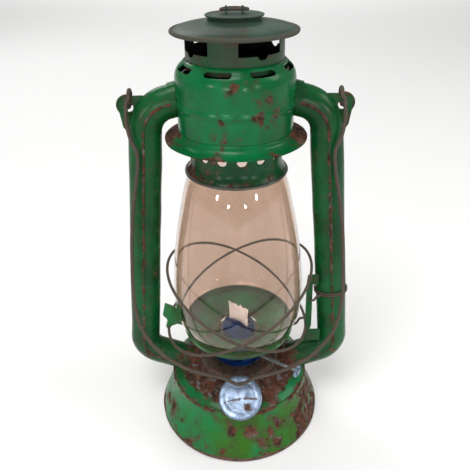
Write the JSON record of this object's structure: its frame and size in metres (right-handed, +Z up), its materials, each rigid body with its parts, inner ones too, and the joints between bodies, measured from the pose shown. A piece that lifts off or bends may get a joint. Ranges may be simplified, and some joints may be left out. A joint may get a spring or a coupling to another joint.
{
  "type": "hurricane lantern",
  "caption": "Cold-blast hurricane oil lantern with side tubes, glass globe, lifting hood, wick burner and wire bail.",
  "frame": {"origin": "centre of the base on the plane it stands on", "axes": "+Z up, -Y towards the filler cap, +X towards the globe lifter"},
  "size_m": [0.163, 0.1232, 0.3034],
  "materials": {
    "green_enamel": "glossy, chipped and rusted",
    "olive_enamel": "glossy, faded and heavily rusted",
    "faded_enamel": "matt, faded grey-green with rust",
    "rusty_steel": "matt brown rust",
    "rusty_wire": "satin, rusted wire",
    "zinc_plate": "brushed, scratched",
    "steel_wire": "satin bright steel",
    "blue_lacquer": "glossy metallic blue lacquer",
    "cotton": "woven cotton",
    "cork": "matt cork",
    "clear_glass": "clear, slightly smoky"
  },
  "bodies": {
    "frame": {"base_skirt": "olive_enamel", "base_rim": "rusty_steel", "fount_bottom": "rusty_steel", "fount_seam": "olive_enamel", "fount_top": "green_enamel", "filler_neck": "zinc_plate", "air_chamber": "rusty_steel", "burner_basket": "blue_lacquer", "burner_dome": "blue_lacquer", "wick_tube": "zinc_plate", "lifter_keeper": "rusty_wire", "left_tube": "green_enamel", "right_tube": "green_enamel", "left_ear": "green_enamel", "right_ear": "green_enamel", "tube_collars": "faded_enamel", "drum": "green_enamel", "drum_brim": "green_enamel"},
    "cap_liner": {"filler_gasket": "cork"},
    "filler_cap": {"filler_cap": "zinc_plate", "filler_rivet": "rusty_steel"},
    "wick": {"wick": "cotton"},
    "wick_winder": {"wick_shaft": "steel_wire", "wick_spurs": "steel_wire", "wick_knob": "steel_wire"},
    "globe_carriage": {"globe_plate": "green_enamel", "globe_plate_tab": "green_enamel", "globe": "clear_glass", "guard_ring_left": "rusty_wire", "guard_ring_right": "rusty_wire", "lifter_lever": "green_enamel", "lifter_link": "rusty_wire"},
    "hood": {"globe_collar": "green_enamel", "collar_bead": "rusty_steel", "flue": "rusty_steel", "hood_spring": "steel_wire", "chimney": "faded_enamel", "canopy": "faded_enamel", "canopy_rim": "rusty_steel", "crown": "faded_enamel", "crown_tabs": "faded_enamel"},
    "lift_ring": {"lift_ring": "rusty_wire"},
    "bail": {"bail": "rusty_wire"}
  },
  "joints": [
    {"name": "bail_swing", "type": "hinge", "parent": "frame", "child": "bail", "pos_m": [0, 0, 0.2493], "axis": [-1, 0, 0], "range_deg": [0, 285]},
    {"name": "cap_turn", "type": "hinge", "parent": "cap_liner", "child": "filler_cap", "pos_m": [0.0006, -0.0442, 0.0452], "axis": [0, -0.454, 0.891], "range_deg": [0, 360]},
    {"name": "cap_rise", "type": "slide", "parent": "frame", "child": "cap_liner", "axis": [0, -0.454, 0.891], "range_m": [0, 0.00245]},
    {"name": "wick_wind", "type": "hinge", "parent": "frame", "child": "wick_winder", "pos_m": [-0.00228, -0.00365, 0.0555], "axis": [0.848, -0.5299, 0], "range_deg": [-90, 180]},
    {"name": "wick_raise", "type": "slide", "parent": "frame", "child": "wick", "axis": [0, 0, 1], "range_m": [-0.0047, 0.0094]},
    {"name": "globe_lift", "type": "slide", "parent": "frame", "child": "globe_carriage", "axis": [0, 0, 1], "range_m": [0, 0.01]},
    {"name": "hood_lift", "type": "slide", "parent": "globe_carriage", "child": "hood", "axis": [0, 0, 1], "range_m": [0, 0.008], "deforming": ["hood_spring"]},
    {"name": "ring_swing", "type": "hinge", "parent": "hood", "child": "lift_ring", "pos_m": [0, 0, 0.3015], "axis": [1, 0, 0], "range_deg": [0, 180]}
  ],
  "couplings": [
    {"joint": "cap_turn", "follows": "cap_rise", "rad_per_m": 2564.1},
    {"joint": "wick_wind", "follows": "wick_raise", "rad_per_m": 333.33}
  ]
}
